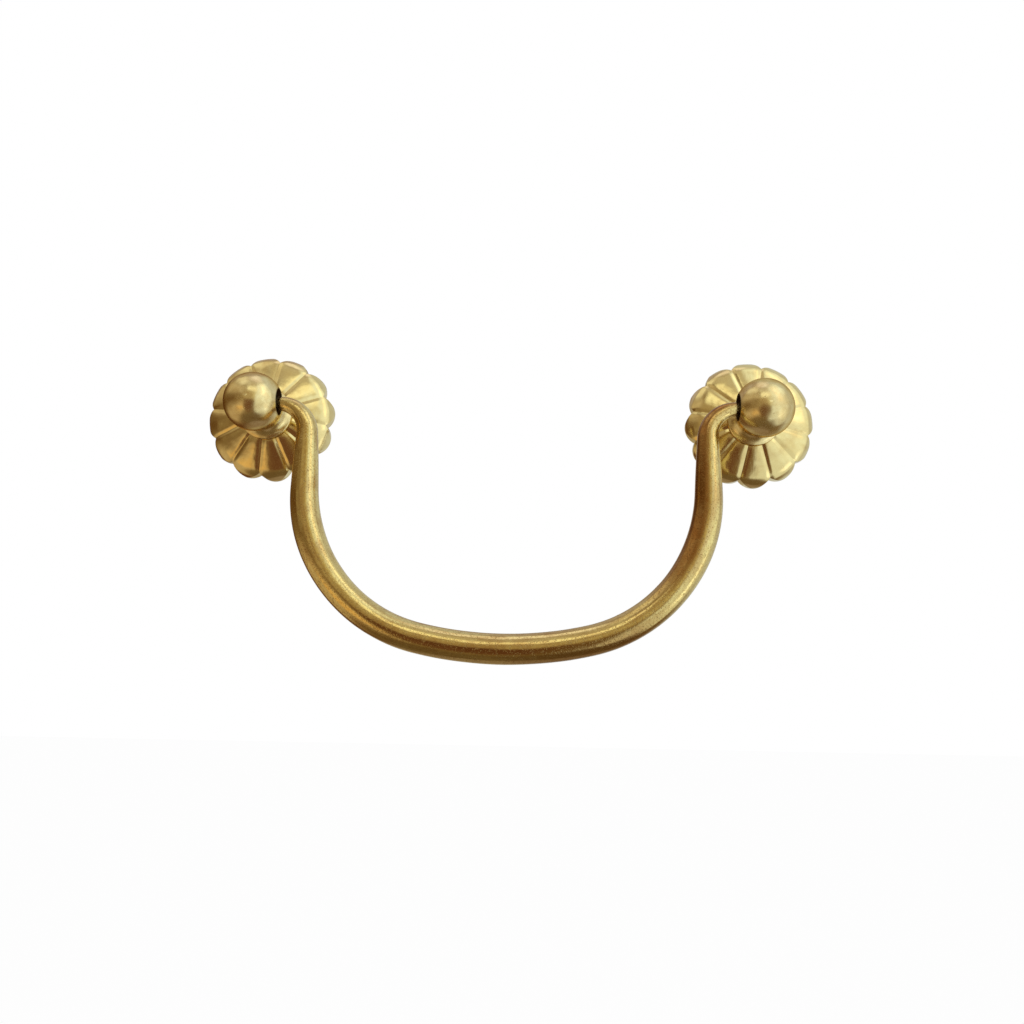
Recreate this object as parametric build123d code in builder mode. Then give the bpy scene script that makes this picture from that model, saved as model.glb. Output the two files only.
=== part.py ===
from build123d import *
from math import acos, asin, atan2, cos, degrees, hypot, radians, sin, sqrt, tan
import os

# Bail pull for a drawer: two ball posts stand on petalled rosettes and carry a swinging bail.
# The face of the drawer front is the plane y = 0. The pull looks along -Y, Z is up, and the origin lies
# midway between the two posts. Sizes are in millimetres and angles in degrees.

# Layout
post_spacing = 90.0  # between the axes of the two posts
ball_standoff = 14.0  # from the drawer front to the centre of a ball
drawer_front_thickness = 16.0

# Ball posts
ball_diameter = 10.4
neck_diameter = 6.6
flare_height = 2.2  # of the hollow flare from the collar up to the neck
collar_diameter = 9.7
collar_thickness = 0.7
collar_fillet = 0.25
spigot_diameter = 4.8  # centres the rosette
spigot_overrun = 0.3  # of the spigot behind the rosette's sheet
shank_diameter = 4.0
thread_diameter = 3.5  # at the pitch line
thread_lead = 5.0  # of the thread inside the drawer front
stud_projection = 2.0  # past the nut
stud_chamfer = 0.5

# Pivot holes
pivot_hole_diameter = 3.2
pivot_hole_depth = 2.4  # of the straight bore past the ball's centre
countersink_diameter = 4.8  # on the ball's surface
countersink_angle = 90.0
drill_point_angle = 118.0
bore_overrun = 2.0  # of the bore's cut outside the ball

# Rosettes
rosette_diameter = 23.9
petal_count = 12
petal_nose_radius = 3.3  # of a petal's round end, seen from the front
seat_height = 4.7  # of the flat under the collar
seat_flat_diameter = 8.4
crown_radius = 5.0  # where the flat turns into the petals' slope
shoulder_radius = 3.0  # where the slope turns into the rim
rim_height = 0.2  # of the upright rim at the petals' tips
sheet_thickness = 0.8
spigot_clearance = 0.05
petal_overrun = 1.0  # of the petals behind the drawer front's face, before they are trimmed
groove_depth = 0.35  # of the pressed line between two petals
groove_angle = 90.0  # between the line's two sides
groove_rise = 1.0  # of the line's cut over the petals
left_rosette_turn = 67.5  # of one petal, from +X towards +Z
right_rosette_turn = 63.5

# Bail
pin_diameter = 2.4
pin_reach = 1.6  # of the pin's end past the ball's centre
pin_chamfer = 0.3
pivot_clearance = 0.05  # under the pin where it rests in its hole
bend_radius = 5.2
leg_spacing = 70.2  # between the centre lines of the legs
bail_drop = 42.3  # from the pins to the centre line of the grip
corner_radius = 26.2
grip_radius = 66.0  # of the grip's shallow bow
grip_diameter = 5.3
taper_length = 30.0  # along the rod, from the pin to the full grip
taper_sections = 30

# Fasteners
washer_diameter = 9.0
washer_clearance = 0.15
washer_thickness = 0.8
nut_sides = 6
nut_across_flats = 7.0
nut_face_diameter = 6.6
nut_height = 3.2
nut_crown_angle = 30.0
thread_clearance = 0.05

# Sizes that follow from these
ball_radius = ball_diameter / 2
neck_radius = neck_diameter / 2
collar_radius = collar_diameter / 2
spigot_radius = spigot_diameter / 2
shank_radius = shank_diameter / 2
thread_radius = thread_diameter / 2
pivot_hole_radius = pivot_hole_diameter / 2
pin_radius = pin_diameter / 2
grip_rod_radius = grip_diameter / 2
collar_top = seat_height + collar_thickness
neck_base = collar_top + flare_height
neck_top = ball_standoff - sqrt(ball_radius**2 - neck_radius**2)
spigot_end = seat_height - sheet_thickness - spigot_overrun
thread_start = drawer_front_thickness - thread_lead
washer_back = drawer_front_thickness + washer_thickness
stud_length = washer_back + nut_height + stud_projection
drill_point_depth = pivot_hole_radius / tan(radians(drill_point_angle / 2))
countersink_radius = countersink_diameter / 2
countersink_flare = tan(radians(countersink_angle / 2))
countersink_rim = sqrt(ball_radius**2 - countersink_radius**2)
countersink_foot = countersink_rim - (countersink_radius - pivot_hole_radius) / countersink_flare
bore_mouth = ball_radius + bore_overrun
bore_mouth_radius = countersink_radius + (bore_mouth - countersink_rim) * countersink_flare
rim_radius = rosette_diameter / 2
nose_ring_radius = rim_radius - petal_nose_radius
petal_half_pitch = 180 / petal_count
seat_flat_radius = seat_flat_diameter / 2
crown_centre_z = seat_height - crown_radius
shoulder_centre_x = rim_radius - shoulder_radius
dome_span = shoulder_centre_x - seat_flat_radius
dome_rise = rim_height - crown_centre_z
dome_reach = hypot(dome_span, dome_rise)
dome_lean = atan2(dome_rise, dome_span) + acos((crown_radius - shoulder_radius) / dome_reach)
groove_half_angle = radians(groove_angle / 2)
pivot_z = pin_radius + pivot_clearance - pivot_hole_radius
leg_x = leg_spacing / 2
leg_top_z = pivot_z - bend_radius
grip_centre_z = pivot_z - bail_drop + grip_radius
corner_centre_x = leg_x - corner_radius
corner_centre_z = grip_centre_z - sqrt((grip_radius - corner_radius) ** 2 - corner_centre_x**2)
grip_half_angle = degrees(asin(corner_centre_x / (grip_radius - corner_radius)))
sides = {"left": -1, "right": 1}
rosette_turns = {"left": left_rosette_turn, "right": right_rosette_turn}


def front_plane(side, height=0):
    """Plane across a post's axis at a height over the drawer front, with its normal to the viewer."""
    return Plane(origin=(sides[side] * post_spacing / 2, -height, 0), x_dir=(1, 0, 0), z_dir=(0, -1, 0))


def petal_contour(inset):
    """Draws the petals' contour from the seat over the slope to the rim, drawn in by the inset."""
    crown = crown_radius - inset
    shoulder = shoulder_radius - inset
    slope_top = (seat_flat_radius + crown * cos(dome_lean), crown_centre_z + crown * sin(dome_lean))
    slope_foot = (shoulder_centre_x + shoulder * cos(dome_lean), rim_height + shoulder * sin(dome_lean))
    RadiusArc((seat_flat_radius, seat_height - inset), slope_top, crown)
    Line(slope_top, slope_foot)
    RadiusArc(slope_foot, (rim_radius - inset, rim_height), shoulder)


def pressed_line(inset):
    """Cutter for the line between two petals: a V along their contour, moved in by the inset."""
    depth = groove_depth + inset / sin(groove_half_angle)
    half_width = (depth + groove_rise) * tan(groove_half_angle)
    with BuildPart() as line:
        with BuildLine(Plane.XZ) as contour:
            petal_contour(0)
            Line((rim_radius, rim_height), (rim_radius, -petal_overrun))
        start = Plane(origin=(seat_flat_radius, 0, seat_height), x_dir=(0, 1, 0), z_dir=(1, 0, 0))
        with BuildSketch(start):
            with BuildLine():
                Polyline(
                    (0, -depth),
                    (half_width, groove_rise),
                    (-half_width, groove_rise),
                    close=True,
                )
            make_face()
        sweep(path=contour.wire())
    return line.part


def petalled_dome(inset, turn):
    """Body of a rosette, drawn in by the inset: a dome with round petal ends and lines between petals."""
    line = pressed_line(inset)
    top = seat_height - inset
    rim = rim_radius - inset
    with BuildPart() as dome:
        with BuildSketch(Plane.XZ):
            with BuildLine():
                petal_contour(inset)
                Polyline(
                    (rim, rim_height),
                    (rim, -petal_overrun),
                    (0, -petal_overrun),
                    (0, top),
                    (seat_flat_radius, top),
                )
            make_face()
        revolve(axis=Axis.Z)
        with BuildSketch(Plane.XY.offset(-petal_overrun)):
            Circle(nose_ring_radius)
            with PolarLocations(nose_ring_radius, petal_count, start_angle=turn):
                Circle(petal_nose_radius - inset)
        extrude(amount=top + petal_overrun, mode=Mode.INTERSECT)
        with PolarLocations(0, petal_count, start_angle=turn + petal_half_pitch):
            add(line, mode=Mode.SUBTRACT)
    return dome.part


def rod_radius(distance):
    """Radius of the bail's rod at a distance along it from the pin."""
    slack = max(0, 1 - distance / taper_length)
    return grip_rod_radius - (grip_rod_radius - pin_radius) * slack**2


os.makedirs("parts", exist_ok=True)

# Ball posts: turned in one piece with their studs, then drilled and countersunk from the side that faces
# the other post
for side, sign in sides.items():
    base = front_plane(side)
    ball_plane = front_plane(side, ball_standoff)
    with BuildPart() as ball_post:
        with BuildSketch(Plane(origin=base.origin, x_dir=base.x_dir, z_dir=-base.y_dir)):
            with BuildLine():
                stud = Polyline(
                    (0, -stud_length),
                    (thread_radius - stud_chamfer, -stud_length),
                    (thread_radius, stud_chamfer - stud_length),
                    (thread_radius, -thread_start),
                    (shank_radius, -thread_start),
                    (shank_radius, spigot_end),
                    (spigot_radius, spigot_end),
                    (spigot_radius, seat_height),
                    (collar_radius, seat_height),
                    (collar_radius, collar_top),
                )
                neck = Line((neck_radius, neck_top), (neck_radius, neck_base))
                TangentArc(neck @ 1, stud @ 1, tangent=neck % 1)
                ball_front = (0, ball_standoff + ball_radius)
                ThreePointArc(neck @ 0, (ball_radius, ball_standoff), ball_front)
                Line(ball_front, stud @ 0)
            make_face()
        revolve(axis=Axis(base.origin, base.z_dir))
        collar_rim = ball_post.faces().filter_by(GeomType.CYLINDER).sort_by(SortBy.RADIUS)[-1]
        fillet(collar_rim.edges().filter_by(GeomType.CIRCLE).sort_by(Axis.Y)[0], collar_fillet)
        with BuildSketch(Plane(origin=ball_plane.origin, x_dir=(sign, 0, 0), z_dir=ball_plane.z_dir)):
            with BuildLine():
                Polyline(
                    (-bore_mouth, 0),
                    (-bore_mouth, bore_mouth_radius),
                    (-countersink_foot, pivot_hole_radius),
                    (pivot_hole_depth, pivot_hole_radius),
                    (pivot_hole_depth + drill_point_depth, 0),
                    close=True,
                )
            make_face()
        revolve(axis=Axis(ball_plane.origin, ball_plane.x_dir), mode=Mode.SUBTRACT)
    ball_post.part.label = f"{side}_ball_post"
    export_step(ball_post.part, f"parts/{side}_ball_post.step")

# Rosettes: domed sheet, hollow behind, held under the collars
for side, turn in rosette_turns.items():
    outside = petalled_dome(0, turn)
    inside = petalled_dome(sheet_thickness, turn)
    with BuildPart(front_plane(side)) as rosette:
        add(outside)
        add(inside, mode=Mode.SUBTRACT)
        split(bisect_by=front_plane(side), keep=Keep.TOP)
        with Locations((0, 0, seat_height)):
            Hole(radius=spigot_radius + spigot_clearance)
    rosette.part.label = f"{side}_rosette"
    export_step(rosette.part, f"parts/{side}_rosette.step")

# Bail: a rod that grows from its pins to its grip. The right side is drawn and mirrored.
bail_plane = Plane.XZ.offset(ball_standoff)
with BuildLine(bail_plane) as side_path:
    bend = RadiusArc((leg_x + bend_radius, pivot_z), (leg_x, leg_top_z), -bend_radius)
    Line((leg_x, leg_top_z), (leg_x, corner_centre_z))
    CenterArc((corner_centre_x, corner_centre_z), corner_radius, 0, grip_half_angle - 90)
with BuildLine(bail_plane) as grip_path:
    CenterArc((0, grip_centre_z), grip_radius, 270 - grip_half_angle, 2 * grip_half_angle)
side_wire = side_path.wire()
with BuildPart() as bail:
    for step in range(taper_sections + 1):
        distance = side_wire.length * step / taper_sections
        position = side_wire.position_at(distance, position_mode=PositionMode.LENGTH)
        direction = side_wire.tangent_at(distance, position_mode=PositionMode.LENGTH)
        with BuildSketch(Plane(origin=position, x_dir=(0, 1, 0), z_dir=direction)):
            Circle(rod_radius(distance))
    loft()
    with BuildSketch(Plane(origin=bend @ 0, x_dir=(0, 1, 0), z_dir=(1, 0, 0))):
        Circle(pin_radius)
    extrude(amount=post_spacing / 2 + pin_reach - leg_x - bend_radius)
    chamfer(bail.edges().sort_by(Axis.X)[-1], pin_chamfer)
    mirror(about=Plane.YZ)
    with BuildSketch(Plane(origin=grip_path.line @ 0, x_dir=(0, 1, 0), z_dir=grip_path.line % 0)):
        Circle(grip_rod_radius)
    sweep(path=grip_path.line)
bail.part.label = "bail"
export_step(bail.part, "parts/bail.step")

# Washers against the back of the drawer front
for side in sides:
    with BuildPart() as washer:
        with BuildSketch(front_plane(side, -drawer_front_thickness)):
            Circle(washer_diameter / 2)
            Circle(shank_radius + washer_clearance, mode=Mode.SUBTRACT)
        extrude(amount=-washer_thickness)
    washer.part.label = f"{side}_washer"
    export_step(washer.part, f"parts/{side}_washer.step")

# Hexagon nuts, crowned at both faces
nut_corner_radius = nut_across_flats / 2 / cos(radians(180 / nut_sides))
nut_crown = (nut_corner_radius - nut_face_diameter / 2) * tan(radians(nut_crown_angle))
for side in sides:
    nut_face = front_plane(side, -washer_back)
    with BuildPart() as nut:
        with BuildSketch(nut_face):
            RegularPolygon(nut_across_flats / 2, side_count=nut_sides, major_radius=False)
            Circle(thread_radius + thread_clearance, mode=Mode.SUBTRACT)
        extrude(amount=-nut_height)
        with BuildSketch(Plane(origin=nut_face.origin, x_dir=nut_face.x_dir, z_dir=nut_face.y_dir)):
            with BuildLine():
                Polyline(
                    (0, 0),
                    (nut_face_diameter / 2, 0),
                    (nut_corner_radius, nut_crown),
                    (nut_corner_radius, nut_height - nut_crown),
                    (nut_face_diameter / 2, nut_height),
                    (0, nut_height),
                    close=True,
                )
            make_face()
        revolve(axis=Axis(nut_face.origin, nut_face.z_dir), mode=Mode.INTERSECT)
    nut.part.label = f"{side}_nut"
    export_step(nut.part, f"parts/{side}_nut.step")
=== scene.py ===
"""Dressed model of a brass drawer pull: a swinging bail between two ball posts on petalled rosettes."""

import logging
import math
from dataclasses import dataclass
from enum import Enum
from typing import Optional, Sequence, Union

import bmesh
import bpy
import numpy as np
from mathutils import Matrix, Vector, noise


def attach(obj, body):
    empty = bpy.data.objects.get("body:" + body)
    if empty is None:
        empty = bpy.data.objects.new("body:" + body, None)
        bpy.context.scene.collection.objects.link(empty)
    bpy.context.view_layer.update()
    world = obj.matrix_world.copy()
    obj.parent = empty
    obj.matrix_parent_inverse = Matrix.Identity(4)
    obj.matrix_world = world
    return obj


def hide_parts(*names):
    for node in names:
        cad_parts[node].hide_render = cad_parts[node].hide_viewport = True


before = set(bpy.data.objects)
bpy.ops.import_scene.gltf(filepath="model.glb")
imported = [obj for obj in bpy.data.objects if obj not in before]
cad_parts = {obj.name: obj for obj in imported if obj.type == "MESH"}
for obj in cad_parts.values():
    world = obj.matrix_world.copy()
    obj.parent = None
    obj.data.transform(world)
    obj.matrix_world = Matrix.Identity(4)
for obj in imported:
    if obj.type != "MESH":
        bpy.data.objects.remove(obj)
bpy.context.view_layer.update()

LOG = logging.getLogger("drawer_pull")

Colour = tuple[float, float, float]
Triple = tuple[float, float, float]
Span = tuple[float, float]
Value = Union["Wire", float, Sequence[float]]

# Values that several classes share, lengths in metres

MM = 0.001
POST_OFFSET = 45 * MM
STANDOFF = 14 * MM
ROD_PLACE = "rod_place"
# An angle in degrees beyond every direction, for the open sides of cards
FAR = 999
# Keeps the radii of a section apart where it stands upright
TINY = 1e-9


class Side(Enum):
    """The post that a piece belongs to, named as the frame's nodes are."""

    LEFT = "left"
    RIGHT = "right"

    def __str__(self) -> str:
        """The side as the names of pieces spell it."""
        return self.value

    @property
    def sign(self) -> int:
        """Which way the side lies along X."""
        return -1 if self is Side.LEFT else 1


# Node trees written as expressions


class Wire:
    """One output socket of a node, which can be used in Python expressions."""

    def __init__(self, tree: "Tree", socket: bpy.types.NodeSocket) -> None:
        """Keeps the socket and the tree that it belongs to."""
        self.tree = tree
        self.socket = socket

    def pick(self, name: str) -> "Wire":
        """Another output of the same node."""
        return Wire(self.tree, self.tree.find(self.socket.node.outputs, name))

    def _join(self, operation: str, first: Value, second: Value) -> "Wire":
        """Adds the node that joins two values, numbers by Math and vectors by Vector Math.

        Args:
            operation: the operation's name, which both kinds of node share.
            first: the left value.
            second: the right value.

        Returns:
            The node's result.
        """
        kind = "ShaderNodeMath" if self.socket.type == "VALUE" else "ShaderNodeVectorMath"
        return self.tree.node(kind, {"operation": operation}, {0: first, 1: second})

    def __add__(self, other: Value) -> "Wire":
        """Sum."""
        return self._join("ADD", self, other)

    def __radd__(self, other: Value) -> "Wire":
        """Sum with the plain value on the left."""
        return self._join("ADD", self, other)

    def __sub__(self, other: Value) -> "Wire":
        """Difference."""
        return self._join("SUBTRACT", self, other)

    def __rsub__(self, other: Value) -> "Wire":
        """Difference from a plain value on the left."""
        return self._join("SUBTRACT", other, self)

    def __mul__(self, other: Value) -> "Wire":
        """Product."""
        return self._join("MULTIPLY", self, other)

    def __rmul__(self, other: Value) -> "Wire":
        """Product with the plain value on the left."""
        return self._join("MULTIPLY", self, other)

    def call(self, operation: str, other: Value = 0.0) -> "Wire":
        """A Math operation that has no sign of its own, such as ABSOLUTE or ARCTAN2."""
        return self.tree.node("ShaderNodeMath", {"operation": operation}, {0: self, 1: other})

    def radius(self, other: "Wire") -> "Wire":
        """Distance from the origin of the point that two numbers give."""
        return (self * self + other * other).call("SQRT")

    def ease(self, low: float, high: float) -> "Wire":
        """Smooth step of a number.

        Args:
            low: where the step is 0.
            high: where the step is 1, which may lie under low.

        Returns:
            A number from 0 to 1.
        """
        return self.tree.node(
            "ShaderNodeMapRange",
            {"interpolation_type": "SMOOTHSTEP", "clamp": True},
            {"Value": self, "From Min": low, "From Max": high, "To Min": 0.0, "To Max": 1.0},
        )

    def band(self, low: float, high: float, soft: float) -> "Wire":
        """1 between two values and 0 beyond them, with edges that reach a soft width to each side."""
        return self.ease(low - soft, low + soft) * self.ease(high + soft, high - soft)


class Tree:
    """A node tree with one method that adds any node."""

    def __init__(self, tree: bpy.types.NodeTree) -> None:
        """Empties the tree and keeps it."""
        tree.nodes.clear()
        self.tree = tree

    @staticmethod
    def find(sockets: bpy.types.bpy_prop_collection, key: Union[int, str]) -> bpy.types.NodeSocket:
        """A socket by its place, its identifier or its name.

        Args:
            sockets: a node's inputs or outputs.
            key: the place, identifier or name.

        Returns:
            The socket.
        """
        if isinstance(key, int):
            return sockets[key]
        for socket in sockets:
            if socket.identifier == key:
                return socket
        return sockets[key]

    def node(
        self,
        kind: str,
        settings: Optional[dict[str, object]] = None,
        sockets: Optional[dict[Union[int, str], Value]] = None,
        out: Union[int, str] = 0,
    ) -> Wire:
        """Adds a node.

        Args:
            kind: the node's type.
            settings: its own settings, which are set first.
            sockets: values or links of its inputs.
            out: which output to return.

        Returns:
            The output as a wire, or the first input of a node that has no output.
        """
        made = self.tree.nodes.new(kind)
        for name, value in (settings or {}).items():
            setattr(made, name, value)
        for key, value in (sockets or {}).items():
            socket = self.find(made.inputs, key)
            if isinstance(value, Wire):
                self.tree.links.new(value.socket, socket)
            elif socket.type == "RGBA":
                socket.default_value = (*value, 1.0)
            else:
                socket.default_value = value
        return Wire(self, self.find(made.outputs if len(made.outputs) else made.inputs, out))

    def split(self, place: Value) -> Wire:
        """The X of a vector, from which pick gives its Y and Z."""
        return self.node("ShaderNodeSeparateXYZ", sockets={0: place})

    def mix(self, factor: Value, first: Value, second: Value) -> Wire:
        """Mixes two colours.

        Args:
            factor: 0 for the first colour, 1 for the second one.
            first: a colour.
            second: another colour.

        Returns:
            The mixed colour.
        """
        return self.node(
            "ShaderNodeMix",
            {"data_type": "RGBA", "clamp_factor": True},
            {"Factor_Float": factor, "A_Color": first, "B_Color": second},
            "Result_Color",
        )


def new_material(name: str) -> tuple[bpy.types.Material, Tree]:
    """Makes an empty material.

    Args:
        name: the material's name.

    Returns:
        The material and its node tree.
    """
    made = bpy.data.materials.new(name)
    made.use_nodes = True
    return made, Tree(made.node_tree)


# Finishes


class Lay(Enum):
    """How a surface was worked, which gives the direction of its fine marks."""

    ALONG_ROD = "rubbed along the rod"
    TURNED = "turned on a lathe about the post's axis"
    RADIAL = "brushed from the crown to the rim"


@dataclass(frozen=True)
class Cloud:
    """A random layer of a finish: its detail, how rough that is, and a shift that sets layers apart."""

    detail: float
    rough: float = 0.5
    shift: Triple = (0.0, 0.0, 0.0)

    def draw(self, place: Wire, scale: float) -> Wire:
        """The layer at a place.

        Args:
            place: coordinates in metres.
            scale: features per metre.

        Returns:
            A number from 0 to 1.
        """
        return place.tree.node(
            "ShaderNodeTexNoise",
            {"noise_dimensions": "3D", "normalize": True},
            {
                "Vector": place + self.shift if any(self.shift) else place,
                "Scale": scale,
                "Detail": self.detail,
                "Roughness": self.rough,
            },
            "Fac",
        )


# Random layers that every finish draws
MOTTLE = Cloud(3.0, 0.55)
DRIFT = Cloud(2.0, shift=(0.31, 0.17, 0.05))
MARKS = Cloud(2.0, 0.6)
GRAIN = Cloud(3.0, 0.65)
SPECKS = Cloud(1.0, shift=(0.07, 0.02, 0.11))
PATCHES = Cloud(4.0, 0.62, (0.41, 0.03, 0.19))
LUMPS = Cloud(1.0, shift=(0.13, 0.29, 0.23))
CLOUD_MEAN = 0.5


@dataclass
class Layers:
    """What varies over a brass surface: random layers, and masks of what stains and dulls it, among them
    dirt and painted shade in hollows and painted shade at the pivots.
    """

    place: Wire
    mottle: Wire
    drift: Wire
    marks: Wire
    grain: Wire
    lumps: Wire
    pits: Wire
    dirt_and_shade: Wire
    stain: Wire
    hole_shade: Optional[Wire]


class RodSide(Enum):
    """A side of the rod, as the sign of the distance across it."""

    INNER = 1.0
    OUTER = -1.0


@dataclass(frozen=True)
class PaintedShadeZone:
    """A stretch of the rod with painted shade on one side: a dark brown that stands in for the dark room
    that the rod mirrors there.

    Lengths run along the rod from its left end, in metres.
    """

    start: float
    end: float
    side: RodSide
    amount: float
    run: float = 6 * MM
    edge: Span = (-0.18 * MM, 0.9 * MM)
    even_share: float = 0.5
    mottle_share: float = 0.6
    grain_share: float = 0.4
    limit: float = 1.2

    def skin(self, rod: Wire, layers: Layers) -> Wire:
        """How much painted shade lies at a place on the rod.

        Args:
            rod: the place on the rod, across it and along it.
            layers: the finish's layers, which break up the painted shade.

        Returns:
            A number from 0 up to about the zone's amount.
        """
        facing = (rod * self.side.value).ease(*self.edge)
        patchy = self.even_share + self.mottle_share * layers.mottle + self.grain_share * layers.grain
        along = rod.pick("Z").band(self.start, self.end, self.run)
        return facing * along * self.amount * patchy.call("MINIMUM", self.limit)


@dataclass(frozen=True)
class BrassFinish:
    """Aged brass: tones, polish, marks of its working, pits, dirt and painted shade in hollows, and painted
    shade on the rod and at the pivots. Sizes are in metres.
    """

    name: str
    lay: Lay
    pale: Colour
    deep: Colour
    brown: Colour
    polish: float
    polish_spread: float
    mottle_size: float
    mark_size: float
    mark_depth: float
    mark_tone: float
    grain_size: float
    grain_depth: float
    grain_tone: float
    pit_size: float
    pit_share: float
    pit_depth: float
    lump_size: float
    lump_depth: float
    tarnish_size: float
    tarnish: float
    hollow_reach: float
    hollow_dirt_and_shade: float

    # Tones, as the colours and shares that the layers bring
    edge_tint: Colour = (1.0, 1.0, 1.0)
    tarnish_colour: Colour = (0.50, 0.29, 0.11)
    # Painted shade: the dark brown that stands in for the dark room mirrored on one side of the rod
    painted_shade_colour: Colour = (0.36, 0.15, 0.035)
    # Painted shade in the pivot holes: near black
    hole_shade_colour: Colour = (0.035, 0.02, 0.01)
    pit_tone: float = 0.4
    tone_floor: float = 0.55
    # Stretches of the rod that carry painted shade on one side
    painted_shade_zones: tuple[PaintedShadeZone, ...] = ()

    # Roughness that the layers bring
    mark_dull: float = 0.5
    pit_dull: float = 0.2
    dirt_and_shade_dull: float = 0.15
    stain_dull: float = 0.12
    pivot_dull: float = 0.35

    # Where a layer starts to show and where it is full
    mottle_range: Span = (0.3, 0.7)
    mark_range: Span = (0.3, 0.7)
    grain_range: Span = (0.35, 0.65)
    dirt_and_shade_range: Span = (0.25, 0.9)
    stain_range: Span = (0.46, 0.68)
    pit_patch: Span = (0.35, 0.6)
    pit_full: float = 0.55

    # Scales and directions of the layers
    drift_scale: float = 0.22
    rod_marks: Triple = (1.0, 1.0, 0.035)
    rod_patches: Triple = (1.0, 1.0, 0.35)
    brush_stretch: float = 0.08
    brush_radius: float = 4 * MM
    hollow_samples: int = 8

    # Painted shade at the pivots: how black it is, and where it starts and is full
    pivot_shade: float = 0.0
    pin_shade: Span = (5.4 * MM, 4.2 * MM)
    mouth_shade: Span = (2.65 * MM, 2.25 * MM)
    mouth_depth: Span = (-3 * MM, -2 * MM)
    post_offset: float = POST_OFFSET
    standoff: float = STANDOFF

    def _place(self, tree: Tree) -> tuple[Wire, Wire]:
        """Coordinates for the surface's grain and for its working marks.

        Args:
            tree: the material's tree.

        Returns:
            Plain coordinates and those that are drawn out along the marks.
        """
        if self.lay is Lay.ALONG_ROD:
            rod = tree.node("ShaderNodeAttribute", {"attribute_name": ROD_PLACE}, out="Vector")
            return rod, rod * self.rod_marks
        plain = tree.node("ShaderNodeTexCoord", out="Object")
        split = tree.split(plain)
        across = split.call("ABSOLUTE") - self.post_offset
        up = split.pick("Z")
        radius = across.radius(up)
        if self.lay is Lay.TURNED:
            first, second = radius, split.pick("Y")
        else:
            first = up.call("ARCTAN2", across) * self.brush_radius
            second = radius * self.brush_stretch
        return plain, tree.node("ShaderNodeCombineXYZ", sockets={"X": first, "Y": second, "Z": 0.0})

    def _painted_pivot_shade(self, tree: Tree) -> Wire:
        """Painted shade where the pins turn: black on the rod's ends and inside the mouths of the holes,
        which lie in shadow.

        Args:
            tree: the material's tree.

        Returns:
            A number from 0, unshaded, to 1, black.
        """
        split = tree.split(tree.node("ShaderNodeTexCoord", out="Object"))
        inward = self.post_offset - split.call("ABSOLUTE")
        if self.lay is Lay.ALONG_ROD:
            return inward.ease(*self.pin_shade) * self.pivot_shade
        forward = split.pick("Y") + self.standoff
        mouth = forward.radius(split.pick("Z")).ease(*self.mouth_shade)
        return mouth * inward.ease(*self.mouth_depth) * self.pivot_shade

    def _layers(self, tree: Tree) -> Layers:
        """Draws the finish's random layers and masks.

        Args:
            tree: the material's tree.

        Returns:
            The layers.
        """
        plain, along = self._place(tree)
        drift = DRIFT.draw(plain, self.drift_scale / self.mottle_size)
        specks = SPECKS.draw(plain, 1 / self.pit_size)
        pits = specks.ease(1 - self.pit_share, 1 - self.pit_full * self.pit_share)
        open_air = tree.node(
            "ShaderNodeAmbientOcclusion",
            {"samples": self.hollow_samples},
            {"Distance": self.hollow_reach},
            "AO",
        )
        spread = plain * self.rod_patches if self.lay is Lay.ALONG_ROD else plain
        patches = PATCHES.draw(spread, 1 / self.tarnish_size)
        return Layers(
            place=plain,
            mottle=MOTTLE.draw(plain, 1 / self.mottle_size),
            drift=drift,
            marks=MARKS.draw(along, 1 / self.mark_size),
            grain=GRAIN.draw(plain, 1 / self.grain_size),
            lumps=LUMPS.draw(plain, 1 / self.lump_size),
            pits=pits * drift.ease(*self.pit_patch),
            # Darker in the hollows that the AO node finds: dirt, and painted shade where shade falls there
            dirt_and_shade=(1 - open_air).ease(*self.dirt_and_shade_range) * self.hollow_dirt_and_shade,
            stain=patches.ease(*self.stain_range) * self.tarnish,
            hole_shade=self._painted_pivot_shade(tree) if self.pivot_shade > 0 else None,
        )

    def _colour(self, tree: Tree, layers: Layers) -> Wire:
        """Base colour: tones of the brass, then tarnish, painted shade on one side of the rod, dirt and
        painted shade in hollows, and painted shade at the pivots over them.

        Args:
            tree: the material's tree.
            layers: the finish's layers.

        Returns:
            The colour.
        """
        tone = (
            layers.mottle.ease(*self.mottle_range) * (1 - self.mark_tone - self.grain_tone)
            + layers.marks.ease(*self.mark_range) * self.mark_tone
            + layers.grain.ease(*self.grain_range) * self.grain_tone
        )
        tone = tone * (self.tone_floor + (1 - self.tone_floor) * layers.drift)
        colour = tree.mix(tone, self.pale, self.deep)
        colour = tree.mix(layers.stain, colour, self.tarnish_colour)
        # Painted shade: dark brown over one side of the rod, standing in for the dark room mirrored there
        if self.painted_shade_zones:
            rod = tree.split(layers.place)
            for zone in self.painted_shade_zones:
                colour = tree.mix(zone.skin(rod, layers), colour, self.painted_shade_colour)
        # Pits, and dirt with painted shade in hollows, turn the colour towards brown
        grime_and_shade = (layers.pits * self.pit_tone).call("MAXIMUM", layers.dirt_and_shade)
        colour = tree.mix(grime_and_shade, colour, self.brown)
        # Painted shade: black in the mouths of the pivot holes and on the pins' ends
        if layers.hole_shade is not None:
            colour = tree.mix(layers.hole_shade, colour, self.hole_shade_colour)
        return colour

    def _rough(self, layers: Layers) -> Wire:
        """Roughness: the polish, and what the layers add to it.

        Args:
            layers: the finish's layers.

        Returns:
            The roughness.
        """
        uneven = (layers.mottle - CLOUD_MEAN) + self.mark_dull * (layers.marks - CLOUD_MEAN)
        rough = self.polish + self.polish_spread * uneven + self.pit_dull * layers.pits
        rough = rough + self.dirt_and_shade_dull * layers.dirt_and_shade + self.stain_dull * layers.stain
        if layers.hole_shade is not None:
            rough = rough + self.pivot_dull * layers.hole_shade
        return rough

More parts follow.
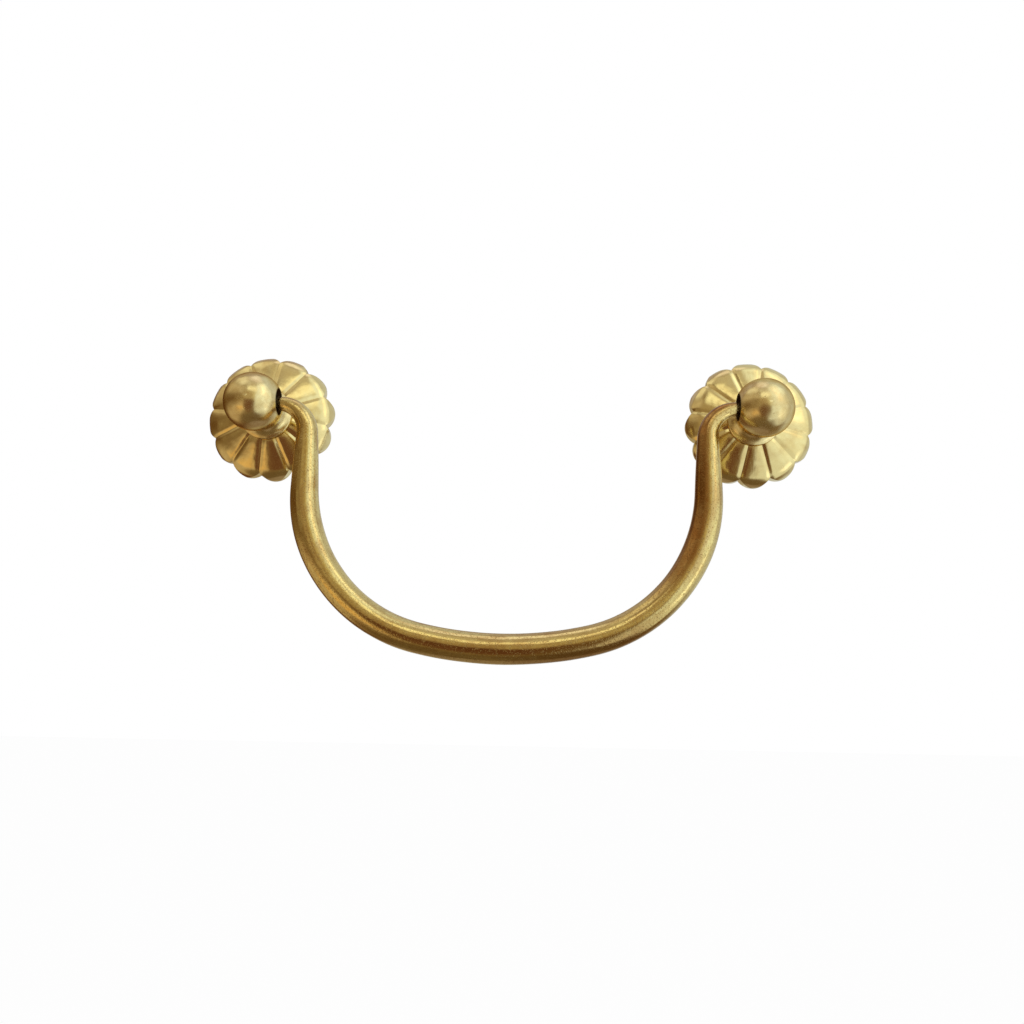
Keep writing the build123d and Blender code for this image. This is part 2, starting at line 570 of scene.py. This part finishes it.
    def material(self) -> bpy.types.Material:
        """Builds the finish as a material.

        Returns:
            The material.
        """
        made, tree = new_material(self.name)
        layers = self._layers(tree)
        height = (
            layers.grain * self.grain_depth
            + layers.marks * self.mark_depth
            - layers.pits * self.pit_depth
            + layers.lumps * self.lump_depth
        )
        bump = tree.node("ShaderNodeBump", sockets={"Strength": 1.0, "Distance": 1.0, "Height": height})
        shader = tree.node(
            "ShaderNodeBsdfPrincipled",
            sockets={
                "Base Color": self._colour(tree, layers),
                "Metallic": 1.0,
                "Roughness": self._rough(layers),
                "Specular Tint": self.edge_tint,
                "Normal": bump,
            },
        )
        tree.node("ShaderNodeOutputMaterial", sockets={"Surface": shader})
        return made


BAIL_BRASS = BrassFinish(
    name="bail_brass_rubbed",
    lay=Lay.ALONG_ROD,
    pale=(0.93, 0.79, 0.35),
    deep=(0.58, 0.38, 0.115),
    brown=(0.20, 0.10, 0.035),
    polish=0.055,
    polish_spread=0.1,
    mottle_size=2.6 * MM,
    mark_size=0.4 * MM,
    mark_depth=0.009 * MM,
    mark_tone=0.45,
    grain_size=0.45 * MM,
    grain_depth=0.009 * MM,
    grain_tone=0.35,
    pit_size=0.24 * MM,
    pit_share=0.5,
    pit_depth=0.007 * MM,
    pit_dull=0.38,
    pit_patch=(0.1, 0.4),
    lump_size=1.6 * MM,
    lump_depth=0.02 * MM,
    tarnish_size=2.4 * MM,
    tarnish=0.5,
    hollow_reach=1.2 * MM,
    hollow_dirt_and_shade=0.5,
    # Painted shade on the pins' ends inside the holes
    pivot_shade=0.85,
    # Painted shade on one side of the rod, where it mirrors the dark room
    painted_shade_zones=(
        PaintedShadeZone(106 * MM, 160 * MM, RodSide.INNER, 0.8),
        PaintedShadeZone(80 * MM, 101 * MM, RodSide.OUTER, 0.5),
    ),
)

POST_BRASS = BrassFinish(
    name="post_brass_turned",
    lay=Lay.TURNED,
    pale=(0.97, 0.85, 0.46),
    deep=(0.76, 0.58, 0.25),
    brown=(0.20, 0.11, 0.04),
    polish=0.24,
    polish_spread=0.22,
    mottle_size=2.4 * MM,
    mark_size=0.35 * MM,
    mark_depth=0.003 * MM,
    mark_tone=0.1,
    grain_size=0.6 * MM,
    grain_depth=0.007 * MM,
    grain_tone=0.1,
    pit_size=0.6 * MM,
    pit_share=0.3,
    pit_depth=0.015 * MM,
    lump_size=2.6 * MM,
    lump_depth=0.15 * MM,
    tarnish_size=3.0 * MM,
    tarnish=0.22,
    hollow_reach=1.5 * MM,
    hollow_dirt_and_shade=0.6,
    # Painted shade in the mouths of the pivot holes
    pivot_shade=1.0,
    edge_tint=(0.62, 0.44, 0.24),
)

ROSETTE_BRASS = BrassFinish(
    name="rosette_brass_stamped",
    lay=Lay.RADIAL,
    pale=(0.93, 0.80, 0.40),
    deep=(0.80, 0.62, 0.26),
    brown=(0.28, 0.16, 0.06),
    polish=0.16,
    polish_spread=0.16,
    mottle_size=3.0 * MM,
    mark_size=0.4 * MM,
    mark_depth=0.011 * MM,
    mark_tone=0.3,
    grain_size=0.45 * MM,
    grain_depth=0.006 * MM,
    grain_tone=0.12,
    pit_size=0.5 * MM,
    pit_share=0.28,
    pit_depth=0.012 * MM,
    lump_size=2.2 * MM,
    lump_depth=0.065 * MM,
    tarnish_size=2.8 * MM,
    tarnish=0.22,
    hollow_reach=1.0 * MM,
    hollow_dirt_and_shade=0.55,
)

FASTENER_BRASS = BrassFinish(
    name="fastener_brass_turned",
    lay=Lay.TURNED,
    pale=(0.82, 0.65, 0.30),
    deep=(0.72, 0.53, 0.21),
    brown=(0.24, 0.15, 0.06),
    polish=0.27,
    polish_spread=0.2,
    mottle_size=2.0 * MM,
    mark_size=0.25 * MM,
    mark_depth=0.006 * MM,
    mark_tone=0.4,
    grain_size=0.3 * MM,
    grain_depth=0.004 * MM,
    grain_tone=0.15,
    pit_size=0.5 * MM,
    pit_share=0.3,
    pit_depth=0.01 * MM,
    lump_size=2.0 * MM,
    lump_depth=0.01 * MM,
    tarnish_size=2.5 * MM,
    tarnish=0.35,
    hollow_reach=0.8 * MM,
    hollow_dirt_and_shade=0.6,
)


# Meshes


def new_object(name: str, data: bpy.types.ID) -> bpy.types.Object:
    """Makes an object in the scene.

    Args:
        name: the object's name.
        data: its mesh, camera or lamp.

    Returns:
        The object.
    """
    made = bpy.data.objects.new(name, data)
    bpy.context.scene.collection.objects.link(made)
    return made


def ring_mesh(
    name: str,
    rings: np.ndarray,
    sharp_angle: float,
    closed: bool = False,
) -> bpy.types.Object:
    """Makes an object from rings of points, joined one to the next by quads.

    Args:
        name: the object's name.
        rings: points as an array of rings by points by three, in metres.
        sharp_angle: edges that turn by more than this many degrees stay sharp.
        closed: joins the last ring to the first one; otherwise both ends are capped.

    Returns:
        The object, linked to the scene.
    """
    count, around, _ = rings.shape
    index = np.arange(count * around).reshape(count, around)
    upper = index if closed else index[:-1]
    lower = np.roll(index, -1, 0) if closed else index[1:]
    quads = np.stack([upper, np.roll(upper, -1, 1), np.roll(lower, -1, 1), lower], -1)
    faces = quads.reshape(-1, 4).tolist()
    if not closed:
        faces += [index[0][::-1].tolist(), index[-1].tolist()]
    mesh = bpy.data.meshes.new(name)
    mesh.from_pydata(rings.reshape(-1, 3).tolist(), [], faces)
    mesh.update()
    work = bmesh.new()
    work.from_mesh(mesh)
    bmesh.ops.recalc_face_normals(work, faces=work.faces)
    work.to_mesh(mesh)
    work.free()
    mesh.shade_smooth()
    mesh.set_sharp_from_angle(angle=math.radians(sharp_angle))
    return new_object(name, mesh)


def run_lengths(points: np.ndarray) -> np.ndarray:
    """Distances along a line of points, from its first one."""
    return np.concatenate([[0], np.cumsum(np.linalg.norm(np.diff(points, axis=0), axis=1))])


def ripple(place: Vector) -> float:
    """Smooth random number from 0 to 1 at a place."""
    return min(max(0.5 + 0.5 * noise.noise(place), 0.0), 1.0)


def dress(piece: bpy.types.Object, material: bpy.types.Material) -> None:
    """Gives a piece one material all over."""
    piece.data.materials.clear()
    piece.data.materials.append(material)


# Pieces


@dataclass
class Bail:
    """The swinging handle: a rod that grows from its pins to its grip. Sizes are in metres."""

    standoff: float = STANDOFF
    pivot_height: float = -0.35 * MM
    pin_end: float = 46.6 * MM
    pin_radius: float = 1.2 * MM
    pin_chamfer: float = 0.3 * MM
    leg_offset: float = 35.1 * MM
    bend_radius: float = 5.2 * MM
    drop: float = 42.3 * MM
    corner_radius: float = 26.2 * MM
    grip_bow: float = 66 * MM
    grip_radius: float = 2.65 * MM
    taper_length: float = 30 * MM
    step: float = 0.3 * MM
    points_around: int = 72
    wave_depth: float = 0.045 * MM
    wave_length: float = 5.5 * MM
    waves_around: float = 2.0
    sharp_angle: float = 35
    finish: BrassFinish = BAIL_BRASS

    def half_line(self) -> tuple[np.ndarray, np.ndarray, np.ndarray]:
        """The right half of the centre line, from the middle of the grip to the pin's end.

        Returns:
            Points and directions in the bail's plane, and how far each point lies from the pin's end of
            the bend, counted along the rod towards the grip.
        """
        grip_centre = self.pivot_height - self.drop + self.grip_bow
        corner_x = self.leg_offset - self.corner_radius
        reach = self.grip_bow - self.corner_radius
        half_angle = math.asin(corner_x / reach)
        corner_z = grip_centre - math.sqrt(reach**2 - corner_x**2)
        grip_length = self.grip_bow * half_angle
        corner_length = self.corner_radius * (math.pi / 2 - half_angle)
        leg_length = self.pivot_height - self.bend_radius - corner_z
        bend_length = self.bend_radius * math.pi / 2
        pin_length = self.pin_end - self.leg_offset - self.bend_radius
        stretches = [grip_length, corner_length, leg_length, bend_length, pin_length]
        grip_end, corner_end, leg_end, bend_end, total = np.cumsum(stretches)
        along = np.linspace(0, total, int(total / self.step) + 1)
        on_grip = along < grip_end
        grip = np.clip(along, 0, grip_end) / self.grip_bow
        corner = half_angle + np.clip(along - grip_end, 0, corner_length) / self.corner_radius
        bend = np.clip(along - leg_end, 0, bend_length) / self.bend_radius
        x = np.where(
            on_grip,
            self.grip_bow * np.sin(grip),
            corner_x + self.corner_radius * np.sin(corner),
        )
        z = np.where(
            on_grip,
            grip_centre - self.grip_bow * np.cos(grip),
            corner_z - self.corner_radius * np.cos(corner),
        )
        z = z + np.clip(along - corner_end, 0, leg_length)
        x = x + self.bend_radius * (1 - np.cos(bend)) + np.clip(along - bend_end, 0, None)
        z = z + self.bend_radius * np.sin(bend)
        angle = np.where(on_grip, grip, corner) - bend
        points = np.stack([x, z], -1)
        directions = np.stack([np.cos(angle), np.sin(angle)], -1)
        return points, directions, bend_end - along

    def radius_at(self, distance: np.ndarray) -> np.ndarray:
        """Radius of the rod at distances along it from the pin's end of the bend."""
        slack = np.clip(1 - distance / self.taper_length, 0, 1)
        return self.grip_radius - (self.grip_radius - self.pin_radius) * slack**2

    def wave(self, turn: float, length: float) -> float:
        """How deep hand finishing went, from 0 to 1, at an angle round the rod and a length along it."""
        x, y = self.waves_around * math.cos(turn), self.waves_around * math.sin(turn)
        return ripple(Vector((x, y, length / self.wave_length)))

    def skin(self, distance: np.ndarray, lengths: np.ndarray, turn: np.ndarray) -> np.ndarray:
        """The rod's radius with its chamfered ends and the slight waves that hand finishing leaves.

        Args:
            distance: distances from the pin's end of the bend, along the rod.
            lengths: distances from the rod's left end.
            turn: angles round the rod.

        Returns:
            Radii as an array of places along the rod by angles.
        """
        order = np.arange(len(distance))
        end_gap = np.minimum(order, order[::-1]) * self.step
        radius = self.radius_at(distance) - np.clip(self.pin_chamfer - end_gap, 0, None)
        free = np.clip((distance - self.bend_radius) / self.taper_length, 0, 1)
        waves = np.array([[self.wave(angle, length) for angle in turn] for length in lengths])
        return radius[:, None] - self.wave_depth * free[:, None] * waves

    def build(self) -> bpy.types.Object:
        """Sweeps the rod and notes on it where each point lies across and along it.

        Returns:
            The bail's object.
        """
        points, directions, distance = self.half_line()
        points = np.concatenate([points[:0:-1] * (-1, 1), points])
        directions = np.concatenate([directions[:0:-1] * (1, -1), directions])
        distance = np.concatenate([distance[:0:-1], distance])
        lengths = run_lengths(points)
        turn = np.linspace(0, 2 * math.pi, self.points_around, endpoint=False)
        radius = self.skin(distance, lengths, turn)
        normal = np.stack([-directions[:, 1], directions[:, 0]], -1)
        rings = np.zeros((*radius.shape, 3))
        rings[:, :, 0] = points[:, None, 0] + radius * normal[:, None, 0] * np.cos(turn)
        rings[:, :, 1] = -self.standoff + radius * np.sin(turn)
        rings[:, :, 2] = points[:, None, 1] + radius * normal[:, None, 1] * np.cos(turn)
        piece = ring_mesh("bail_rod", rings, self.sharp_angle)
        place = np.zeros_like(rings)
        place[:, :, 0] = radius * np.cos(turn)
        place[:, :, 1] = radius * np.sin(turn)
        place[:, :, 2] = lengths[:, None]
        layer = piece.data.attributes.new(ROD_PLACE, "FLOAT_VECTOR", "POINT")
        layer.data.foreach_set("vector", place.reshape(-1).astype(np.float32))
        dress(piece, self.finish.material())
        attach(piece, "bail")
        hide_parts("bail")
        return piece


@dataclass
class BallPost:
    """A turned post with its ball, collar and stud. Sizes are in metres."""

    side: Side
    material: bpy.types.Material
    post_offset: float = POST_OFFSET
    root_radius: float = 1.68 * MM
    crest_radius: float = 2.0 * MM
    crest_width: float = 0.1 * MM
    root_width: float = 0.58 * MM
    pitch: float = 0.7 * MM
    thread_start: float = 11.5 * MM
    thread_end: float = 21.45 * MM
    steps_per_turn: int = 48
    sharp_angle: float = 30

    def build(self) -> bpy.types.Object:
        """Dresses the turned node and cuts its thread as a helical ridge that runs out at both ends.

        Returns:
            The thread's object.
        """
        dress(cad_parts[f"{self.side}_ball_post"], self.material)
        length = self.thread_end - self.thread_start
        turns = length / self.pitch
        steps = np.linspace(0, 1, int(turns * self.steps_per_turn) + 1)
        angle = 2 * math.pi * turns * steps
        run_out = np.clip(np.minimum(steps, 1 - steps) * turns, 0, 1)
        root = np.full_like(steps, self.root_radius)
        crest = self.root_radius + (self.crest_radius - self.root_radius) * run_out
        section = [
            (root, -self.root_width / 2),
            (crest, -self.crest_width / 2),
            (crest, self.crest_width / 2),
            (root, self.root_width / 2),
        ]
        rings = np.zeros((len(steps), len(section), 3))
        for corner, (radius, shift) in enumerate(section):
            rings[:, corner, 0] = self.side.sign * self.post_offset + radius * np.cos(angle)
            rings[:, corner, 1] = self.thread_start + length * steps + shift
            rings[:, corner, 2] = radius * np.sin(angle)
        piece = ring_mesh(f"{self.side}_stud_thread", rings, self.sharp_angle)
        dress(piece, self.material)
        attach(piece, "fittings")
        return piece


@dataclass
class Fasteners:
    """Washer and nut behind the drawer front."""

    side: Side
    material: bpy.types.Material

    def build(self) -> list[bpy.types.Object]:
        """Dresses the washer and the nut.

        Returns:
            Both objects.
        """
        pieces = [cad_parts[f"{self.side}_{name}"] for name in ("washer", "nut")]
        for piece in pieces:
            dress(piece, self.material)
        return pieces


@dataclass
class Rosette:
    """A stamped rose of sheet under a post's collar. Sizes are in metres, its turn is in degrees."""

    side: Side
    turn: float
    material: bpy.types.Material
    post_offset: float = POST_OFFSET
    petals: int = 12
    hole_radius: float = 2.45 * MM
    seat_radius: float = 4.2 * MM
    seat_height: float = 4.7 * MM
    crown_radius: float = 5.0 * MM
    shoulder_radius: float = 3.0 * MM
    rim_radius: float = 11.95 * MM
    rim_height: float = 0.2 * MM
    nose_radius: float = 3.3 * MM
    sheet: float = 0.8 * MM
    edge_round: float = 0.22 * MM
    section_soft: float = 1.6 * MM
    line_depth: float = 0.11 * MM
    line_reach: float = 0.5 * MM
    line_soft: float = 0.12 * MM
    line_start: float = 3.6 * MM
    petal_swell: float = 0.12 * MM
    swell_run: float = 1.8 * MM
    dent_depth: float = 0.035 * MM
    dent_size: float = 3.2 * MM
    dent_run: float = 1.0 * MM
    sharp_angle: float = 40
    flat_points: int = 30
    crown_points: int = 60
    slope_points: int = 60
    shoulder_points: int = 90
    section_points: int = 400
    steps_per_petal: int = 36
    line_crowding: float = 0.75
    steps_out: int = 56
    steps_in: int = 24
    steps_edge: int = 5

    def contour(self, inset: float) -> np.ndarray:
        """Radius and height along the dome's section, from the hole to the rim.

        Args:
            inset: how far the section lies inside the outer one.

        Returns:
            Many close points as rows of radius and height.
        """
        crown, shoulder = self.crown_radius - inset, self.shoulder_radius - inset
        crown_z = self.seat_height - self.crown_radius
        shoulder_x = self.rim_radius - self.shoulder_radius
        span, rise = shoulder_x - self.seat_radius, self.rim_height - crown_z
        opening = math.acos((self.crown_radius - self.shoulder_radius) / math.hypot(span, rise))
        lean = math.atan2(rise, span) + opening
        upper = np.linspace(math.pi / 2, lean, self.crown_points)
        lower = np.linspace(lean, 0, self.shoulder_points)
        out = np.linspace(self.hole_radius, self.seat_radius, self.flat_points)
        flat = np.stack([out, np.full_like(out, self.seat_height - inset)], -1)
        bend = np.stack([self.seat_radius + crown * np.cos(upper), crown_z + crown * np.sin(upper)], -1)
        drop_height = self.rim_height + shoulder * np.sin(lower)
        drop = np.stack([shoulder_x + shoulder * np.cos(lower), drop_height], -1)
        slope = bend[-1] + (drop[0] - bend[-1]) * np.linspace(0, 1, self.slope_points)[:, None]
        sharp = np.concatenate([flat, bend[1:], slope[1:], drop[1:]])
        lengths = run_lengths(sharp)
        even = np.linspace(0, lengths[-1], self.section_points)
        section = np.stack([np.interp(even, lengths, column) for column in sharp.T], -1)
        reach = int(self.section_soft / even[1])
        weights = np.hanning(2 * reach + 1)
        padded = np.pad(section, ((reach, reach), (0, 0)), mode="reflect", reflect_type="odd")
        return np.stack([np.convolve(column, weights / weights.sum(), "valid") for column in padded.T], -1)

    def skin(self, inset: float, steps: int, angle: np.ndarray) -> tuple[np.ndarray, np.ndarray]:
        """One side of the sheet, from the hole over the petals and down the rim.

        Args:
            inset: 0 for the outer side, the sheet's thickness for the inner one.
            steps: how many rings lie between the hole and the rim's edge.
            angle: directions round the post, as angles from the middle of their petal.

        Returns:
            Radii and heights as arrays of rings by directions.
        """
        section = self.contour(inset)
        lengths = run_lengths(section)
        ring = self.rim_radius - self.nose_radius
        nose = self.nose_radius - inset
        reach = ring * np.cos(angle) + np.sqrt(nose**2 - (ring * np.sin(angle)) ** 2)
        slope = np.gradient(section[:, 1], section[:, 0] + TINY * np.arange(len(section)))
        lean = np.arctan(-np.interp(reach - self.edge_round, section[:, 0], slope))
        last = reach - self.edge_round * (1 - np.sin(lean))
        along = np.linspace(0, 1, steps)[:, None] * np.interp(last, section[:, 0], lengths)
        radius = np.interp(along, lengths, section[:, 0])
        height = np.interp(along, lengths, section[:, 1])
        gap = np.abs(radius * np.sin(math.pi / self.petals - np.abs(angle)))
        height = height - self.line(inset, gap) * np.clip((radius - self.line_start) / self.edge_round, 0, 1)
        swell = self.petal_swell * np.clip((radius - self.seat_radius) / self.swell_run, 0, 1)
        height = height - swell * (angle * self.petals / math.pi) ** 2
        fall = np.linspace(0, 1, self.steps_edge + 1)[1:, None] * (math.pi / 2 - lean) + lean
        edge_radius = reach - self.edge_round * (1 - np.sin(fall))
        edge_height = np.clip(height[-1] - self.edge_round * (np.cos(lean) - np.cos(fall)), 0, None)
        radius = np.concatenate([radius, edge_radius, edge_radius[-1:]])
        height = np.concatenate([height, edge_height, np.zeros_like(edge_height[-1:])])
        return radius, height

    def line(self, inset: float, gap: np.ndarray) -> np.ndarray:
        """Depth of the pressed line between petals, with soft edges and a soft root.

        Args:
            inset: 0 for the outer side, the sheet's thickness for the inner one.
            gap: distances to the line's side.

        Returns:
            How far the sheet lies under the plain dome.
        """
        slope = self.line_depth / self.line_reach
        depth = self.line_depth + inset * (math.hypot(1, slope) - 1)
        drop = depth - slope * (np.sqrt(gap**2 + self.line_soft**2) - self.line_soft)
        return 0.5 * (drop + np.sqrt(drop**2 + (slope * self.line_soft) ** 2))

    def build(self) -> bpy.types.Object:
        """Stamps the sheet: petals outside, their hollows inside.

        Returns:
            The rosette's object.
        """
        share = np.linspace(-1, 1, self.steps_per_petal, endpoint=False)
        half = math.pi / self.petals
        from_line = half * ((1 - self.line_crowding) * share + self.line_crowding * share**3)
        angle = np.tile(np.where(from_line < 0, from_line + half, from_line - half), self.petals)
        lines = np.repeat(2 * half * (np.arange(self.petals) + 0.5), self.steps_per_petal)
        turn = math.radians(self.turn) + lines + np.tile(from_line, self.petals)
        outer_radius, outer_height = self.skin(0.0, self.steps_out, angle)
        inner_radius, inner_height = self.skin(self.sheet, self.steps_in, angle)
        radius = np.concatenate([outer_radius, inner_radius[::-1]])
        height = np.concatenate([outer_height, inner_height[::-1]])
        rings = np.zeros((*radius.shape, 3))
        rings[:, :, 0] = self.side.sign * self.post_offset + radius * np.cos(turn)
        rings[:, :, 1] = -height
        rings[:, :, 2] = radius * np.sin(turn)
        front = rings[: len(outer_radius)].reshape(-1, 3)
        dents = np.array([ripple(Vector(point) / self.dent_size) for point in front])
        free = np.clip((outer_radius - self.seat_radius) / self.dent_run, 0, 1)
        free = free * np.clip(outer_height / self.dent_run, 0, 1)
        rings[: len(outer_radius), :, 1] += self.dent_depth * free * dents.reshape(free.shape)
        piece = ring_mesh(f"{self.side}_rose", rings, self.sharp_angle, closed=True)
        dress(piece, self.material)
        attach(piece, "fittings")
        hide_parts(f"{self.side}_rosette")
        return piece


# Studio


@dataclass(frozen=True)
class Card:
    """A soft-edged card or softbox round the pull: which directions it covers and how bright it looks.

    Azimuth 0 is the viewer's side and grows to the right. All angles are in degrees.
    """

    azimuth: Span
    elevation: Span
    soft: float
    colour: Colour

    def mask(self, azimuth: Wire, elevation: Wire) -> Wire:
        """How much of the card lies in a direction.

        Args:
            azimuth: the direction's azimuth.
            elevation: its elevation.

        Returns:
            A number from 0 to 1.
        """
        across = azimuth.band(*self.azimuth, self.soft)
        return across * elevation.band(*self.elevation, self.soft)


@dataclass(frozen=True)
class Lamp:
    """A soft square lamp that looks at the pull.

    Its angles are in degrees like a card's, its power is in watts and its lengths are in metres.
    """

    name: str
    azimuth: float
    elevation: float
    power: float
    distance: float = 0.4
    size: float = 0.3

    def build(self, centre: Triple) -> bpy.types.Object:
        """Hangs the lamp.

        Args:
            centre: the place that it looks at.

        Returns:
            The lamp's object.
        """
        light = bpy.data.lights.new(self.name, "AREA")
        light.size = self.size
        light.energy = self.power
        made = new_object(self.name, light)
        side, up = math.radians(self.azimuth), math.radians(self.elevation)
        aim = Vector((math.sin(side) * math.cos(up), -math.cos(side) * math.cos(up), math.sin(up)))
        place = Matrix.Translation(Vector(centre) + aim * self.distance)
        made.matrix_world = place @ aim.to_track_quat("Z", "Y").to_matrix().to_4x4()
        made.visible_camera = False
        made.visible_glossy = False
        return made


@dataclass
class Studio:
    """Camera, pale floor, soft lamps and the dim room that the brass mirrors. Lengths are in metres."""

    lens: float = 36.25
    sensor: float = 36.0
    camera_place: Triple = (5.242 * MM, -190.396 * MM, -45.757 * MM)
    yaw: float = 0.0232
    pitch: float = 0.150
    roll: float = -0.0183
    near: float = 1 * MM
    floor_height: float = -0.5
    floor_size: float = 12.0
    paper: Colour = (0.93, 0.93, 0.93)
    paper_glow: float = 0.93
    sky_fill: Colour = (0.85, 0.85, 0.85)
    white: Colour = (1.0, 1.0, 1.0)
    tent_radius: float = 0.47
    tent_detail: int = 5
    centre: Triple = (0.0, -10 * MM, -16 * MM)
    room_colour: Colour = (0.20, 0.13, 0.06)
    cards: tuple[Card, ...] = (
        Card((-FAR, FAR), (74, FAR), 7, (1.0, 0.94, 0.98)),
        Card((-FAR, -115), (25, 70), 10, (0.47, 0.41, 0.42)),
        Card((-32, 25), (-8, 30), 12, (0.42, 0.32, 0.18)),
        Card((-110, -30), (22, 42), 8, (0.56, 0.46, 0.32)),
        Card((-110, -40), (46, 72), 8, (0.86, 0.80, 0.66)),
        Card((-40, 40), (50, 70), 6, (0.56, 0.50, 0.40)),
        Card((6, 26), (0, 28), 7, (0.62, 0.54, 0.32)),
        Card((-22, 40), (29, 48), 5, (1.18, 1.13, 0.88)),
        Card((-135, -28), (-44, -10), 7, (0.52, 0.40, 0.25)),
        Card((-62, -30), (-36, -18), 5, (0.76, 0.50, 0.22)),
        Card((-FAR, -125), (-60, 25), 15, (0.12, 0.045, 0.012)),
        Card((-FAR, -152), (-45, 25), 9, (0.42, 0.36, 0.26)),
        Card((-150, -60), (1, 12), 6, (0.13, 0.065, 0.02)),
        Card((-60, -34), (1, 12), 6, (0.31, 0.23, 0.125)),
        Card((-24, 6), (-45, -6), 6, (0.14, 0.062, 0.03)),
        Card((22, 92), (-52, 72), 10, (0.94, 1.0, 0.99)),
        Card((90, FAR), (-30, 80), 14, (0.60, 0.62, 0.64)),
        Card((22, 92), (-52, -12), 9, (0.76, 0.78, 0.74)),
        Card((56, 74), (-34, -12), 5, (1.3, 1.34, 1.3)),
        Card((44, 62), (12, 60), 6, (1.45, 1.4, 1.25)),
        Card((-FAR, FAR), (-FAR, -54), 9, (0.15, 0.10, 0.05)),
        Card((-FAR, -140), (-80, -40), 10, (0.28, 0.21, 0.16)),
        Card((140, FAR), (-80, -40), 10, (0.28, 0.21, 0.16)),
    )
    lamps: tuple[Lamp, ...] = (
        Lamp("window_lamp", 60, -12, 0.5),
        Lamp("ceiling_lamp", 10, 70, 0.7),
    )

    def camera(self) -> bpy.types.Object:
        """Sets the camera at the photograph's viewing angle.

        Returns:
            The camera's object.
        """
        lens = bpy.data.cameras.new("camera")
        lens.lens = self.lens
        lens.sensor_width = self.sensor
        lens.clip_start = self.near
        made = new_object("camera", lens)
        turned = Matrix.Rotation(self.yaw, 3, "Z") @ Matrix.Rotation(self.pitch, 3, "X")
        upright = turned @ Matrix.Rotation(self.roll, 3, "Y") @ Matrix.Rotation(math.pi / 2, 3, "X")
        made.matrix_world = Matrix.Translation(self.camera_place) @ upright.to_4x4()
        bpy.context.scene.camera = made
        return made

    @staticmethod
    def seen(tree: Tree) -> Wire:
        """Tells what the camera sees, straight or mirrored, from light that falls on the pull.

        Args:
            tree: the tree that needs it.

        Returns:
            1 for what is seen, 0 for the rest.
        """
        path = tree.node("ShaderNodeLightPath", out="Is Camera Ray")
        mirrored = path.call("MAXIMUM", path.pick("Is Glossy Ray"))
        return mirrored.call("MAXIMUM", path.pick("Is Transmission Ray"))

    def world(self) -> None:
        """White surroundings for what the camera sees and the metal mirrors, and soft light for the rest."""
        world = bpy.data.worlds.new("surroundings")
        bpy.context.scene.world = world
        world.use_nodes = True
        tree = Tree(world.node_tree)
        colour = tree.mix(self.seen(tree), self.sky_fill, self.white)
        sky = tree.node("ShaderNodeBackground", sockets={"Color": colour})
        tree.node("ShaderNodeOutputWorld", sockets={"Surface": sky})

    def floor(self) -> bpy.types.Object:
        """Lays the pale floor, well under the pull.

        Returns:
            The floor's object.
        """
        mesh = bpy.data.meshes.new("floor")
        half = self.floor_size / 2
        signs = ((-1, -1), (1, -1), (1, 1), (-1, 1))
        corners = [(x * half, y * half, self.floor_height) for x, y in signs]
        mesh.from_pydata(corners, [], [(0, 1, 2, 3)])
        made = new_object("floor", mesh)
        material, tree = new_material("floor_paper")
        glow = self.seen(tree) * self.paper_glow
        paper = tree.node("ShaderNodeBsdfDiffuse", sockets={"Color": self.paper})
        white = tree.node("ShaderNodeEmission", sockets={"Color": self.white, "Strength": 1.0})
        both = tree.node("ShaderNodeMixShader", sockets={0: glow, 1: paper, 2: white})
        tree.node("ShaderNodeOutputMaterial", sockets={"Surface": both})
        dress(made, material)
        return made

    def tent(self) -> bpy.types.Object:
        """Hangs the dim room round the pull, which only its reflections show.

        Returns:
            The tent's object.
        """
        mesh = bpy.data.meshes.new("tent")
        work = bmesh.new()
        bmesh.ops.create_icosphere(work, subdivisions=self.tent_detail, radius=self.tent_radius)
        for vertex in work.verts:
            vertex.co += Vector(self.centre)
        work.to_mesh(mesh)
        work.free()
        made = new_object("tent", mesh)
        material, tree = new_material("tent_cloth")
        material.cycles.emission_sampling = "NONE"
        place = tree.node("ShaderNodeTexCoord", out="Object") - self.centre
        aim = tree.node("ShaderNodeVectorMath", {"operation": "NORMALIZE"}, {0: place})
        split = tree.split(aim)
        azimuth = split.call("ARCTAN2", split.pick("Y") * -1.0) * math.degrees(1)
        elevation = split.pick("Z").call("ARCSINE") * math.degrees(1)
        colour: Value = self.room_colour
        for card in self.cards:
            colour = tree.mix(card.mask(azimuth, elevation), colour, card.colour)
        cloth = tree.node("ShaderNodeEmission", sockets={"Color": colour, "Strength": 1.0})
        tree.node("ShaderNodeOutputMaterial", sockets={"Surface": cloth})
        dress(made, material)
        for kind in ("camera", "diffuse", "shadow", "transmission", "volume_scatter"):
            setattr(made, f"visible_{kind}", False)
        return made

    def build(self) -> None:
        """Sets up the whole studio."""
        bpy.context.scene.view_settings.view_transform = "Standard"
        self.camera()
        self.world()
        self.floor()
        self.tent()
        for lamp in self.lamps:
            lamp.build(self.centre)


# Building

# Degrees that each rosette happens to be turned on its post
ROSETTE_TURNS = {Side.LEFT: 67.5, Side.RIGHT: 63.5}


def main() -> None:
    """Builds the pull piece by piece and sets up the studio."""
    logging.basicConfig(level=logging.INFO, format="%(message)s")
    posts = POST_BRASS.material()
    rosettes = ROSETTE_BRASS.material()
    fasteners = FASTENER_BRASS.material()
    piece = Bail().build()
    LOG.info("built %s", piece.name)
    for side in Side:
        LOG.info("built %s", BallPost(side, posts).build().name)
        LOG.info("built %s", Rosette(side, ROSETTE_TURNS[side], rosettes).build().name)
        for piece in Fasteners(side, fasteners).build():
            LOG.info("dressed %s", piece.name)
    Studio().build()
    LOG.info("set up the studio")


if __name__ == "__main__":
    main()
